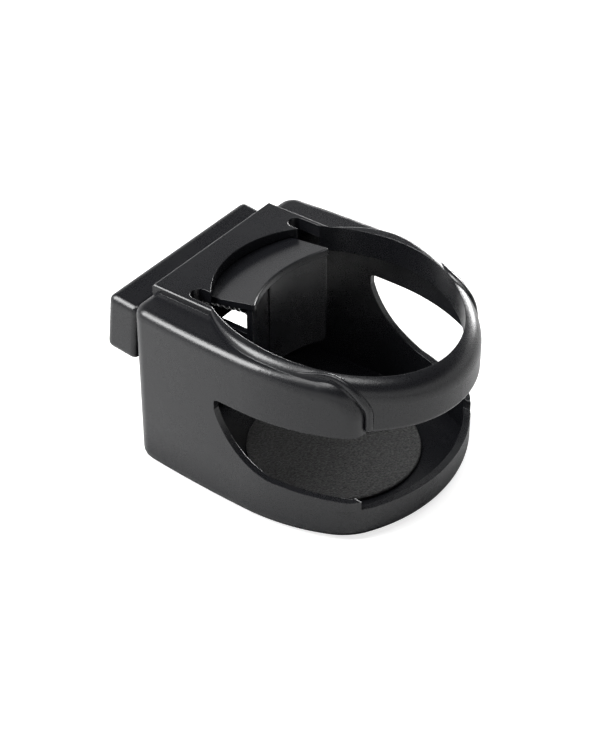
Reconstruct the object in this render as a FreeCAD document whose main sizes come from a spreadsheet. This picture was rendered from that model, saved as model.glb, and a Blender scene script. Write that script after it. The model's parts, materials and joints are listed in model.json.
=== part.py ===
import FreeCAD, Part
import math
import os
import re
import Sketcher

# Clamp-on cup holder. The frame: +Z up, origin on the axis of the cup ring at the underside of the
# base, +X to the side, +Y to the rear (the clamp side), -Y to the open front. Millimetres.

V = FreeCAD.Vector
X_AXIS = V(1, 0, 0)
Y_AXIS = V(0, 1, 0)
Z_AXIS = V(0, 0, 1)
doc = FreeCAD.newDocument("CupHolder")

# ---------------------------------------------------------------- driving dimensions
DIMENSIONS = {
    # holder body
    "deck_top": 65.2,
    "shoulder_drop": 2.3,
    "wall": 2.4,
    "floor_thick": 2.0,
    "rear_face": 53.0,
    "rear_half": 43.2,
    "rear_corner": 5.8,
    "body_half": 45.0,
    "widest_y": 6.0,
    "tip_x": 34.3,
    "tip_y": -31.5,
    "base_round": 5.5,
    "shoulder_round": 3.4,
    "leaf_round": 6.5,
    "nose_rad": 58.0,
    "nose_front": -41.8,
    "nose_top": 13.2,
    "nose_corner": 5.0,
    "leaf_slope_y": -17.0,
    "leaf_slope_drop": 0.9,
    "leaf_tip_drop": 13.0,
    # cup ring and bridge
    "ring_half": 37.5,
    "ring_front": 41.3,
    "ring_out_half": 41.6,
    "ring_out_front": 47.4,
    "ring_bottom": 43.2,
    "ring_round": 4.0,
    "ring_front_round": 8.0,
    "ring_low_round": 2.1,
    "dip_start": 10.0,
    "dip_rad": 256.0,
    "lip_height": 9.6,
    "deck_half": 31.2,
    "deck_bend_y": 28.9,
    "edge_round": 0.9,
    "throat_half": 29.3,
    "throat_y": 29.8,
    "slot_inner": 23.4,
    "slot_y": 37.4,
    "bridge_rad": 36.6,
    "bridge_mid": 43.3,
    # side windows
    "window_top": 43.2,
    "window_rear": 17.4,
    "window_corner": 1.5,
    "window_curve_top": 39.0,
    "window_curve_y": -4.0,
    "window_low": 19.0,
    "window_fall": 0.09,
    # rear opening and frame
    "port_half": 38.5,
    "port_low": 5.0,
    "port_top": 59.5,
    "frame_front": 50.4,
    "frame_rear": 52.8,
    "frame_gap": 0.2,
    "sight_half": 28.5,
    "sight_low": 8.0,
    "sight_top": 34.5,
    "notch_low": 55.5,
    "boss_x": 34.8,
    "boss_low": 9.5,
    "boss_top": 55.0,
    "boss_rad": 3.6,
    "boss_len": 8.0,
    "screw_rad": 1.5,
    "screw_len": 6.0,
    "screw_sink": 1.2,
    "screw_head_rad": 2.8,
    "screw_head": 1.8,
    "drive_rad": 0.9,
    "drive_depth": 1.1,
    "arm_in": 20.8,
    "arm_out": 23.2,
    "arm_front": 26.0,
    "arm_low": 42.4,
    "arm_top": 51.7,
    # foam
    "pad_rad": 29.8,
    "pad_y": 2.0,
    "pad_thick": 1.4,
    "glue_thick": 0.2,
    "glue_inset": 1.5,
    # pusher; y and z of the tongues and springs are along and across its slide
    "slide_pitch": 10.0,
    "plate_front": 25.2,
    "plate_top": 63.9,
    "plate_thick": 2.3,
    "plate_half": 20.4,
    "plate_tail_half": 21.6,
    "plate_tail": 20.6,
    "plate_round": 0.6,
    "face_rad": 37.5,
    "wall_setback": 1.0,
    "face_thick": 2.0,
    "face_low": 27.0,
    "face_top": 63.0,
    "face_corner": 1.5,
    "slide_travel": 8.0,
    "channel_gap": 0.4,
    "cheek_in": 18.0,
    "cheek_front": 22.2,
    "cheek_tail": 36.0,
    "cheek_low": 45.2,
    "cheek_top": 52.2,
    "tongue_out": 22.4,
    "tongue_y": 6.1,
    "tongue_len": 5.0,
    "tongue_z": -16.75,
    "tongue_height": 3.0,
    "running_gap": 0.1,
    "witness_x": 4.0,
    "witness_half": 0.4,
    "spring_x": 9.0,
    "spring_z": -7.6,
    "spring_front": 6.2,
    "spring_back": 26.0,
    "spring_rad": 3.5,
    "spring_wire": 0.6,
    "spring_turns": 6,
    "seat_rad": 4.4,
    "seat_len": 3.6,
    "post_rad": 2.4,
    "post_len": 5.0,
    # tilting clamp block, in the block frame
    "tilt_y": 61.0,
    "tilt_z": 45.9,
    "tilt_rest": 6.0,
    "block_half": 36.3,
    "block_front": -4.5,
    "block_rear": 8.5,
    "block_rise": 11.05,
    "block_wall": 2.0,
    "block_round": 2.6,
    "core_half": 12.8,
    "core_rear": 6.1,
    "rib_in": 19.2,
    "rib_out": 21.8,
    "lug_in": 14.0,
    "lug_out": 18.0,
    "lug_rad": 4.2,
    "slot_low": -5.8,
    "slot_top": 6.8,
    "pin_rad": 2.0,
    "pin_in": 11.5,
    "pin_out": 21.0,
    "fit_gap": 0.05,
    "washer_rad": 4.0,
    "washer_thick": 0.9,
    "washer_gap": 0.15,
    "cover_front": 6.3,
    "cover_back": 8.3,
    "cover_gap": 0.15,
    "cover_screw_x": 27.0,
    "cover_boss": 3.2,
    "ledge_thick": 2.6,
    # jaw, rods and clamp screw, in the block frame
    "jaw_half": 15.0,
    "jaw_front": -4.3,
    "jaw_rear": 15.0,
    "jaw_thick": 4.5,
    "jaw_round": 1.2,
    "jaw_gap": 2.2,
    "rubber_thick": 1.2,
    "rubber_half": 12.0,
    "rubber_front": 4.4,
    "rubber_rear": 14.0,
    "stem_y": 0.8,
    "rod_x": 7.4,
    "rod_rad": 1.5,
    "rod_sink": 2.2,
    "rod_top": 7.8,
    "rod_bore_top": 8.2,
    "bush_rad": 2.3,
    "bush_len": 4.0,
    "rod_screw_head": 2.0,
    "rod_screw_sink": 1.2,
    "rod_screw_rad": 0.8,
    "rod_screw_end": -10.0,
    "stem_rad": 2.0,
    "stem_top": 8.0,
    "nut_half": 3.5,
    "nut_low": -7.0,
    "nut_thick": 3.2,
    "clip_rad": 3.3,
    "clip_thick": 0.8,
    "thrust_thick": 0.8,
    "thrust_rad": 4.4,
    "knob_rad": 8.0,
    "knob_height": 6.0,
    "knob_round": 0.8,
    "knob_flutes": 10,
    "flute_rad": 1.3,
    "flute_at": 8.4,
}

sheet = doc.addObject("Spreadsheet::Sheet", "Dims")
for row, (alias, value) in enumerate(DIMENSIONS.items(), start=1):
    sheet.set("A%d" % row, alias)
    sheet.set("B%d" % row, str(value))
    sheet.setAlias("B%d" % row, alias)
doc.recompute()


def dim(alias):
    """The value of one cell of the sheet, in millimetres or degrees."""
    return float(getattr(sheet, alias))


# ---------------------------------------------------------------- helpers
# Working frames: Y and Z of the origin and the pitch about +X. The slide frame starts at the middle of
# the pusher plate's front top edge, and the block frame lies on the tilt axis.
WORLD = ("0", "0", 0.0)
SLIDE = ("plate_front", "plate_top", -dim("slide_pitch"))
BLOCK = ("tilt_y", "tilt_z", dim("tilt_rest"))


def bind(obj, prop, expression):
    """Drives a property from the sheet: the words of the expression are aliases of its cells."""
    def cell(word):
        return "Dims." + word.group() if word.group() in DIMENSIONS else word.group()
    obj.setExpression(prop, re.sub(r"[a-z]\w*", cell, str(expression)))


def place(obj, at, frame=WORLD, turn=FreeCAD.Rotation()):
    """Puts an object at a point of a working frame; the point is three expressions."""
    origin_y, origin_z, pitch = frame
    x, y, z = at
    obj.Placement = FreeCAD.Placement(V(), FreeCAD.Rotation(X_AXIS, pitch) * turn)
    c, s = "cos(%s deg)" % pitch, "sin(%s deg)" % pitch
    bind(obj, "Placement.Base.x", x)
    bind(obj, "Placement.Base.y", "%s + (%s) * %s - (%s) * %s" % (origin_y, y, c, z, s))
    bind(obj, "Placement.Base.z", "%s + (%s) * %s + (%s) * %s" % (origin_z, y, s, z, c))


def box(name, x_span, y_span, z_span, frame=WORLD):
    """Part::Box between the low and high expressions of its three spans."""
    obj = doc.addObject("Part::Box", name)
    for prop, (low, high) in zip(("Length", "Width", "Height"), (x_span, y_span, z_span)):
        bind(obj, prop, "(%s) - (%s)" % (high, low))
    place(obj, (x_span[0], y_span[0], z_span[0]), frame)
    return obj


def minus(expression):
    return "-1 * (%s)" % expression


def both(half):
    """A span of equal width on both sides of the middle."""
    return minus(half), half


def side(sign, low, high):
    """A span in X on the +X side, or its mirror image when the sign is negative."""
    return (low, high) if sign > 0 else (minus(high), minus(low))


def cylinder(name, radius, height, at, along=Z_AXIS, frame=WORLD):
    """Part::Cylinder that starts at a point and runs along a direction of the frame."""
    obj = doc.addObject("Part::Cylinder", name)
    bind(obj, "Radius", radius)
    bind(obj, "Height", height)
    place(obj, at, frame, FreeCAD.Rotation(Z_AXIS, along))
    return obj


def fuse(name, shapes):
    obj = doc.addObject("Part::MultiFuse", name)
    obj.Shapes = shapes
    obj.Refine = True
    return obj


def cut(name, base, tools):
    obj = doc.addObject("Part::Cut", name)
    obj.Base = base
    obj.Tool = tools[0] if len(tools) == 1 else fuse(name + "_tools", tools)
    obj.Refine = True
    return obj


def common(name, first, second):
    obj = doc.addObject("Part::Common", name)
    obj.Base = first
    obj.Tool = second
    obj.Refine = True
    return obj


def group(name, shapes):
    """Separate solids that share one node."""
    obj = doc.addObject("Part::Compound", name)
    obj.Links = shapes
    return obj


def line(x1, y1, x2, y2):
    return Part.LineSegment(V(x1, y1, 0), V(x2, y2, 0))


def arc3(start, middle, end):
    return Part.Arc(V(*start, 0), V(*middle, 0), V(*end, 0))


def prism(name, edges, along, span, frame=WORLD):
    """Extrusion of a closed outline over a span along +Z (drawn in X, Y) or +X (drawn in Y, Z)."""
    low, high = span
    sketch = doc.addObject("Sketcher::SketchObject", name + "_outline")
    for edge in edges:
        sketch.addGeometry(edge, False)
    if along == X_AXIS:
        place(sketch, (low, 0, 0), frame, FreeCAD.Rotation(Y_AXIS, Z_AXIS, X_AXIS))
    else:
        place(sketch, (0, 0, low), frame)
    solid = doc.addObject("Part::Extrusion", name)
    solid.Base = sketch
    solid.DirMode = "Normal"
    solid.Solid = True
    bind(solid, "LengthFwd", "(%s) - (%s)" % (high, low))
    return solid


def rounded(name, base, rules):
    """Part::Fillet over the edges that the rules pick: each is (test, radius), and a radius may be
    a number or a function of the place along Y."""
    doc.recompute()
    edges = []
    for index, edge in enumerate(base.Shape.Edges, start=1):
        middle = edge.valueAt((edge.FirstParameter + edge.LastParameter) / 2)
        ends = [edge.valueAt(edge.FirstParameter), edge.valueAt(edge.LastParameter)]
        for test, radius in rules:
            if test(middle, ends):
                first, last = [radius(end.y) if callable(radius) else radius for end in ends]
                edges.append((index, first, last))
                break
    if not edges:
        raise ValueError("no edge picked for " + name)
    obj = doc.addObject("Part::Fillet", name)
    obj.Base = base
    obj.Edges = edges
    return obj


def node(obj, label):
    """Names a finished sub-part."""
    obj.Label = label
    nodes.append(obj)
    return obj


nodes = []


# ---------------------------------------------------------------- outlines of the holder body
FAR_FRONT = -60


def side_arc_centre(half, rise):
    """Centre offset and radius of an arc that is tangent to X = half and drops 'rise' over a run."""
    run, drop = rise
    radius = (run * run + drop * drop) / (2 * drop)
    return half - radius, radius


def on_circle(centre_x, centre_y, radius, y):
    return centre_x + math.sqrt(radius * radius - (y - centre_y) ** 2)


def circle_meet(cx, cy, radius, nose_y, nose_radius):
    """Where the side arc meets the nose arc, on the +X side."""
    dist_y = nose_y - cy
    dist = math.hypot(cx, dist_y)
    along = (radius ** 2 - nose_radius ** 2 + dist ** 2) / (2 * dist)
    off = math.sqrt(radius ** 2 - along ** 2)
    ux, uy = -cx / dist, dist_y / dist
    candidates = [(cx + along * ux + s * off * uy, cy + along * uy - s * off * ux) for s in (1, -1)]
    return max(candidates, key=lambda point: point[0])


def body_outline(inset, with_nose):
    """The body seen from above, moved inwards by inset: rear corners, bulging sides and the front."""
    widest = dim("widest_y")
    rear = dim("rear_face")
    corner = dim("rear_corner")
    rear_cx, rear_r = side_arc_centre(
        dim("body_half"), (rear - corner - widest, dim("body_half") - dim("rear_half"))
    )
    front_cx, front_r = side_arc_centre(
        dim("body_half"), (widest - dim("tip_y"), dim("body_half") - dim("tip_x"))
    )
    rear_r -= inset
    front_r -= inset
    y_corner = rear - corner
    x_corner = on_circle(rear_cx, widest, rear_r, y_corner)
    rear_y = rear - inset
    round_r = rear_y - y_corner
    x_rear = x_corner - round_r
    x_max = rear_cx + rear_r
    if with_nose:
        nose_cy = dim("nose_front") + dim("nose_rad")
        nose_r = dim("nose_rad") - inset
        end = circle_meet(front_cx, widest, front_r, nose_cy, nose_r)
        last_y = end[1] + dim("nose_corner")
        last = (on_circle(front_cx, widest, front_r, last_y), last_y)
        nose_x = end[0] - dim("nose_corner")
        nose_end = (nose_x, nose_cy - math.sqrt(nose_r ** 2 - nose_x ** 2))
    else:
        end = (on_circle(front_cx, widest, front_r, dim("tip_y") + inset), dim("tip_y") + inset)
        last = end
    edges = [line(-x_rear, rear_y, x_rear, rear_y)]
    diag = round_r * math.sqrt(0.5)
    for s in (1, -1):
        y_mid_rear = (y_corner + widest) / 2
        y_mid_front = (widest + last[1]) / 2
        edges.append(arc3(
            (s * x_rear, rear_y), (s * (x_rear + diag), y_corner + diag), (s * x_corner, y_corner)
        ))
        edges.append(arc3(
            (s * x_corner, y_corner),
            (s * on_circle(rear_cx, widest, rear_r, y_mid_rear), y_mid_rear),
            (s * x_max, widest),
        ))
        edges.append(arc3(
            (s * x_max, widest),
            (s * on_circle(front_cx, widest, front_r, y_mid_front), y_mid_front),
            (s * last[0], last[1]),
        ))
    if not with_nose:
        return edges + [line(end[0], end[1], -end[0], end[1])]
    for s in (1, -1):
        middle = ((end[0] * 2 + last[0] + nose_end[0]) / 4, (end[1] * 2 + last[1] + nose_end[1]) / 4)
        edges.append(arc3((s * last[0], last[1]), (s * middle[0], middle[1]),
                          (s * nose_end[0], nose_end[1])))
    edges.append(arc3(nose_end, (0, nose_cy - nose_r), (-nose_end[0], nose_end[1])))
    return edges


def front_ellipse(half, front, pieces=1):
    """The front half of an ellipse about the ring axis, whose long axis points to the front."""
    ellipse = Part.Ellipse(V(0, -front, 0), V(half, 0, 0), V())
    step = math.pi / pieces
    starts = [-math.pi / 2 + step * i for i in range(pieces)]
    return [Part.ArcOfEllipse(ellipse, start, start + step) for start in starts]


def rear_arcs(half, end_x, end_y):
    """Two arcs that leave the ring's widest points rearwards and run in to (+-end_x, end_y)."""
    cx, radius = side_arc_centre(half, (end_y, half - end_x))
    y_mid = end_y / 2
    x_mid = on_circle(cx, 0, radius, y_mid)
    return [arc3((s * half, 0), (s * x_mid, y_mid), (s * end_x, end_y)) for s in (1, -1)]


def top_outline():
    """Raised top: bridge deck, lip and ring as one outline."""
    half, bend, rear = dim("deck_half"), dim("deck_bend_y"), dim("rear_face")
    edges = front_ellipse(dim("ring_out_half"), dim("ring_out_front"), 2)
    edges += rear_arcs(dim("ring_out_half"), half, bend)
    edges.append(line(half, bend, half, rear))
    edges.append(line(half, rear, -half, rear))
    edges.append(line(-half, rear, -half, bend))
    return edges


def opening_outline():
    """The hole that the cup goes through, with its two slots and the curved front of the bridge."""
    x_out, y_out = dim("throat_half"), dim("throat_y")
    x_in, y_slot = dim("slot_inner"), dim("slot_y")
    mid = dim("bridge_mid")
    slot_r = (x_out - x_in) / 2
    x_slot = (x_out + x_in) / 2
    y_tip = mid - dim("bridge_rad") + math.sqrt(dim("bridge_rad") ** 2 - x_in ** 2)
    edges = front_ellipse(dim("ring_half"), dim("ring_front"))
    edges += rear_arcs(dim("ring_half"), x_out, y_out)
    for s in (1, -1):
        edges.append(line(s * x_out, y_out, s * x_out, y_slot))
        edges.append(arc3((s * x_out, y_slot), (s * x_slot, y_slot + slot_r), (s * x_in, y_slot)))
        edges.append(line(s * x_in, y_slot, s * x_in, y_tip))
    edges.append(arc3((x_in, y_tip), (0, mid), (-x_in, y_tip)))
    return edges


def ring_outline(inset):
    """Front ring between its outer wall, moved inwards by inset, and a straight line at the rear."""
    half = dim("ring_out_half") - inset
    front = dim("ring_out_front") - inset
    return front_ellipse(half, front) + [line(-half, 0, half, 0)]


def lip_outline():
    """Wall around the opening: as wide as the ring in front and one wall thick along the sides."""
    wall = dim("wall")
    half = dim("ring_out_half")
    x_end, y_end = dim("throat_half") + wall, dim("throat_y")
    outline = front_ellipse(half, dim("ring_out_front")) + rear_arcs(half, x_end, y_end)
    return outline + [line(x_end, y_end, -x_end, y_end)]


def dip_height(y, drop):
    """Height of the ring's top line, which curves down towards the front, less a drop."""
    run = max(dim("dip_start") - y, 0)
    return dim("deck_top") - drop - run * run / (2 * dim("dip_rad"))


def dip_profile(drop, top):
    """Side view of the space between the dipping line, lowered by drop, and a level top line."""
    start, front = dim("dip_start"), FAR_FRONT
    mid = (start + front) / 2
    height = dim("deck_top") - drop
    return [
        arc3((start, height), (mid, dip_height(mid, drop)), (front, dip_height(front, drop))),
        line(front, dip_height(front, drop), front, top),
        line(front, top, start, top),
        line(start, top, start, height),
    ]


def below_dip(drop):
    """Side view of everything below the dipping line, lowered by drop."""
    level, start, far = dim("deck_top") - drop, dim("dip_start"), 60
    return [
        line(far, 0, far, level),
        line(far, level, start, level),
        dip_profile(drop, 0)[0],
        line(-far, dip_height(-far, drop), -far, 0),
        line(-far, 0, far, 0),
    ]


def panel_profile(inset):
    """Side view of the side panels: level shoulder, slight fall, and the round front of the leaf."""
    top = dim("deck_top") - dim("shoulder_drop") - inset
    rear = dim("rear_face") - inset
    tip_y = dim("tip_y") + inset
    y_slope = dim("leaf_slope_y")
    z_slope = top - dim("leaf_slope_drop")
    z_tip = top - dim("leaf_tip_drop")
    bulge = 0.29
    z_bulge = z_slope - bulge * (z_slope - z_tip)
    y_bulge = tip_y - bulge * (tip_y - y_slope)
    return [
        line(rear, 0, rear, top),
        line(rear, top, 0, top),
        line(0, top, y_slope, z_slope),
        arc3((y_slope, z_slope), (y_bulge, z_bulge), (tip_y, z_tip)),
        line(tip_y, z_tip, tip_y, 0),
        line(tip_y, 0, rear, 0),
    ]


def window_profile():
    """Side view of the opening in both side panels: curved rear boundary, open to the front."""
    rear, top, small = dim("window_rear"), dim("window_top"), dim("window_corner")
    start_z, end_y, end_z = dim("window_curve_top"), dim("window_curve_y"), dim("window_low")
    low_z = end_z + dim("window_fall") * (FAR_FRONT - end_y)
    bulge = 0.37
    middle = (rear - bulge * (rear - end_y), end_z + bulge * (start_z - end_z))
    k = math.sqrt(0.5)
    corner = (rear - small + small * k, top - small + small * k)
    return [
        line(FAR_FRONT, top, rear - small, top),
        arc3((rear - small, top), corner, (rear, top - small)),
        line(rear, top - small, rear, start_z),
        arc3((rear, start_z), middle, (end_y, end_z)),
        line(end_y, end_z, FAR_FRONT, low_z),
        line(FAR_FRONT, low_z, FAR_FRONT, top),
    ]


# ---------------------------------------------------------------- holder body
ACROSS = both("body_half + 5")


def shoulder_radius(y):
    """Rounding of the side panels' upper edge: constant at the rear, growing to the leaf's tip."""
    grown = min(max(y / dim("tip_y"), 0), 1)
    return dim("shoulder_round") + (dim("leaf_round") - dim("shoulder_round")) * grown


def make_base():
    """Tray with the bowl's round front, and the two side panels that rise from it."""
    shoulder = dim("deck_top") - dim("shoulder_drop")
    tray = prism("tray_block", body_outline(0, True), Z_AXIS, (0, "window_low + 3"))
    tray = rounded("tray", tray, [(lambda mid, ends: abs(mid.z) < 0.01, dim("base_round"))])
    panels = common(
        "panel_block",
        prism("panel_plan", body_outline(0, False), Z_AXIS, ("nose_top", "nose_top + deck_top")),
        prism("panel_side", panel_profile(0), X_AXIS, ACROSS),
    )
    panels = rounded("panels", panels, [(
        lambda mid, ends: mid.z > shoulder - 12 and ends[0].x * ends[1].x > 0 and abs(mid.x) > 30,
        shoulder_radius,
    )])
    return [tray, panels]


def make_top():
    """Raised bridge deck, lip and ring with their rounded upper edges."""
    bend, edge_r, ring_r = dim("deck_bend_y"), dim("edge_round"), dim("ring_round")

    def lip_round(y):
        """The lip's outer edge grows rounder from the bridge to the front of the ring."""
        if y > 0:
            return ring_r + (edge_r - ring_r) * min(y / bend, 1)
        return ring_r + (dim("ring_front_round") - ring_r) * -y / dim("ring_out_front")

    def on_top(mid):
        return abs(mid.z - dip_height(mid.y, 0)) < 0.2 and abs(mid.x) + abs(mid.y) > 12

    block = cut(
        "top_block",
        prism("top_plan", top_outline(), Z_AXIS, ("ring_bottom", "deck_top")),
        [prism("above_dip", dip_profile(0, dim("deck_top") + 20), X_AXIS, ACROSS)],
    )
    return rounded("top_rounded", block, [
        (lambda mid, ends: on_top(mid) and mid.y > bend - 0.1, edge_r),
        (lambda mid, ends: on_top(mid) and mid.y > 0.1 and ends[0].x * ends[1].x > 0, lip_round),
        (lambda mid, ends: on_top(mid) and mid.y < 0, lip_round),
        (lambda mid, ends: abs(mid.z - dim("ring_bottom")) < 0.01 and mid.y < -1,
         dim("ring_low_round")),
    ])


def make_hollow():
    """Inside of the tray, of the panels and of the ring, less the wall around the cup opening."""
    roof = "deck_top - shoulder_drop - wall"
    panels = common(
        "panel_hollow",
        prism("panel_hollow_plan", body_outline(dim("wall"), False), Z_AXIS, ("floor_thick", roof)),
        prism("panel_hollow_side", panel_profile(dim("wall")), X_AXIS, ACROSS),
    )
    tray = prism("tray_inside", body_outline(dim("wall"), True), Z_AXIS, ("floor_thick", 27))
    tray = rounded("tray_hollow", tray, [
        (lambda mid, ends: abs(mid.z - dim("floor_thick")) < 0.01 and mid.y < 40, 2.5),
    ])
    ring = prism(
        "ring_hollow", ring_outline(dim("wall")), Z_AXIS, ("ring_bottom - 1", "deck_top - 1")
    )
    lip = cut(
        "lip_wall",
        prism("lip_plan", lip_outline(), Z_AXIS, ("ring_bottom", "deck_top + 5")),
        [prism("below_lip", below_dip(dim("lip_height")), X_AXIS, ACROSS)],
    )
    return cut("hollow", fuse("hollow_all", [panels, tray, ring]), [lip])


def make_openings():
    """Cup opening, rear port and the channel that the pusher plate slides in."""
    return [
        prism("opening", opening_outline(), Z_AXIS, ("ring_bottom", "deck_top + 20")),
        box("port", both("port_half"), ("rear_face - 6", "rear_face + 6"), ("port_low", "port_top")),
        box("channel", both("plate_tail_half + 0.6"), (-10, 32), ("-1 * plate_thick - 1", "channel_gap"),
            SLIDE),
    ]


def make_bosses():
    """Four screw bosses in the rear corners, each tied to the side panel by a rib."""
    solids = []
    pilots = []
    rear = ("frame_front - boss_len", "frame_front")
    for s in (1, -1):
        for level in ("boss_low", "boss_top"):
            tag = "%s_%s" % (level, "right" if s > 0 else "left")
            at = ("%d * boss_x" % s, rear[0], level)
            rise = (level + " - 1", level + " + 1")
            solids.append(cylinder(tag, "boss_rad", "boss_len", at, Y_AXIS))
            solids.append(box(tag + "_rib", side(s, "boss_x", "rear_half - 1.4"), rear, rise))
            pilot_at = ("%d * boss_x" % s, "frame_front - screw_len", level)
            pilots.append(cylinder(tag + "_pilot", "screw_rad", "screw_len + 1", pilot_at, Y_AXIS))
    return solids, pilots


def make_holder_body():
    outside = fuse("outside", make_base() + [make_top()])
    windows = prism("windows", window_profile(), X_AXIS, ACROSS)
    front_gap = box(
        "front_gap", both("tip_x - 2.2"), (-60, "tip_y + 6"), ("nose_top", "ring_bottom")
    )
    open_body = cut("open_body", outside, [windows, front_gap])
    shell = cut("shell", open_body, [make_hollow()] + make_openings())
    bosses, pilots = make_bosses()
    node(cut("body", fuse("shell_and_bosses", [shell] + bosses), pilots), "holder_body")


def make_foam():
    """Round foam pad in the tray and the adhesive layer that holds it."""
    floor = "floor_thick"
    glue = cylinder("glue", "pad_rad - glue_inset", "glue_thick", (0, "pad_y", floor))
    node(glue, "pad_adhesive")
    pad = cylinder("pad", "pad_rad", "pad_thick", (0, "pad_y", floor + " + glue_thick"))
    node(pad, "foam_pad")


# ---------------------------------------------------------------- rear frame
def make_screw(name, at, length, frame=WORLD):
    """Pan head screw along +Y: 'at' is the underside of its head."""
    x, y, z = at
    shank = cylinder(name + "_shank", "screw_rad", length, (x, "%s - (%s)" % (y, length), z), Y_AXIS, frame)
    head = cylinder(name + "_head", "screw_head_rad", "screw_head", at, Y_AXIS, frame)
    drive_at = (x, y + " + screw_head - drive_depth", z)
    drive = cylinder(name + "_drive", "drive_rad", "screw_head", drive_at, Y_AXIS, frame)
    return cut(name, fuse(name + "_solid", [shank, head]), [drive])


def spring_line(s, y):
    return "%d * spring_x" % s, y, "spring_z"


def make_rear_frame():
    """Plate in the rear port with guide arms for the pusher, spring posts and hinge lugs."""
    depth = ("frame_front", "frame_rear")
    parts = [box("frame_plate", both("port_half - frame_gap"), depth,
                 ("port_low + frame_gap", "port_top - frame_gap"))]
    tools = [
        box("sight", both("sight_half"), ("frame_front - 1", "frame_rear + 1"), ("sight_low", "sight_top")),
        box("plate_notch", both("plate_tail_half + 0.6"), ("frame_front - 1", "frame_rear + 1"),
            ("notch_low", "port_top + 1")),
    ]
    for s in (1, -1):
        tag = "right" if s > 0 else "left"
        parts.append(box("arm_" + tag, side(s, "arm_in", "arm_out"), ("arm_front", "frame_front + 1"),
                         ("arm_low", "arm_top")))
        tools.append(box(
            "arm_slot_" + tag, side(s, "arm_in - 1", "arm_out + 1"),
            ("tongue_y - running_gap", "tongue_y + tongue_len + slide_travel + running_gap"),
            ("tongue_z - running_gap", "tongue_z + tongue_height + running_gap"), SLIDE,
        ))
        seat = cylinder("seat_" + tag, "seat_rad", 2.2, spring_line(s, "spring_back"), Y_AXIS, SLIDE)
        post = cylinder("post_" + tag, "post_rad", "post_len + 1",
                        spring_line(s, "spring_back - post_len"), Y_AXIS, SLIDE)
        parts += [seat, post]
        lug = side(s, "lug_in", "lug_out")
        parts.append(box("lug_web_" + tag, lug, ("frame_rear - 1", "tilt_y"),
                         ("tilt_z - lug_rad", "tilt_z + lug_rad")))
        parts.append(cylinder("lug_" + tag, "lug_rad", "lug_out - lug_in", (lug[0], "tilt_y", "tilt_z"),
                              X_AXIS))
        tools.append(cylinder("lug_bore_" + tag, "pin_rad", "lug_out - lug_in + 2",
                              (lug[0] + " - 1", "tilt_y", "tilt_z"), X_AXIS))
        for level in ("boss_low", "boss_top"):
            at = "%d * boss_x" % s
            tools.append(cylinder("%s_hole_%s" % (level, tag), "screw_rad", 6,
                                  (at, "frame_front - 1", level), Y_AXIS))
            tools.append(cylinder("%s_sink_%s" % (level, tag), "screw_head_rad + 0.2", 6,
                                  (at, "frame_rear - screw_sink", level), Y_AXIS))
    node(cut("frame", fuse("frame_solid", parts), tools), "rear_frame")


def make_frame_screws():
    screws = []
    for s in (1, -1):
        for level in ("boss_low", "boss_top"):
            at = ("%d * boss_x" % s, "frame_rear - screw_sink", level)
            name = "screw_%s_%s" % (level, "right" if s > 0 else "left")
            screws.append(make_screw(name, at, "frame_rear - screw_sink - frame_front + screw_len"))
    node(group("screws", screws), "frame_screws")


def make_tilt_pins():
    pins = []
    for s in (1, -1):
        low, high = side(s, "pin_in", "pin_out")
        pins.append(cylinder("pin_right" if s > 0 else "pin_left", "pin_rad", "pin_out - pin_in",
                             (low, "tilt_y", "tilt_z"), X_AXIS))
    node(group("pins", pins), "tilt_pins")


# ---------------------------------------------------------------- pusher
def plate_outline():
    """Plate seen across its slide: concave front, sides that widen to the tail."""
    half, tail_half, tail = dim("plate_half"), dim("plate_tail_half"), dim("plate_tail")
    radius = dim("face_rad")
    y_end = math.sqrt(radius ** 2 - half ** 2) - radius
    return [
        arc3((-half, y_end), (0, 0), (half, y_end)),
        line(half, y_end, tail_half, 8),
        line(tail_half, 8, tail_half, tail),
        line(tail_half, tail, -tail_half, tail),
        line(-tail_half, tail, -tail_half, 8),
        line(-tail_half, 8, -half, y_end),
    ]


def face_outline():
    """Curved wall under the plate, seen from above."""
    half = dim("plate_half")
    centre = dim("plate_front") - dim("face_rad")
    inner = dim("face_rad") + dim("wall_setback")
    outer = inner + dim("face_thick")
    y_in, y_out = (on_circle(centre, 0, radius, half) for radius in (inner, outer))
    return [
        arc3((-half, y_in), (0, centre + inner), (half, y_in)),
        line(half, y_in, half, y_out),
        arc3((half, y_out), (0, centre + outer), (-half, y_out)),
        line(-half, y_out, -half, y_in),
    ]


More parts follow.
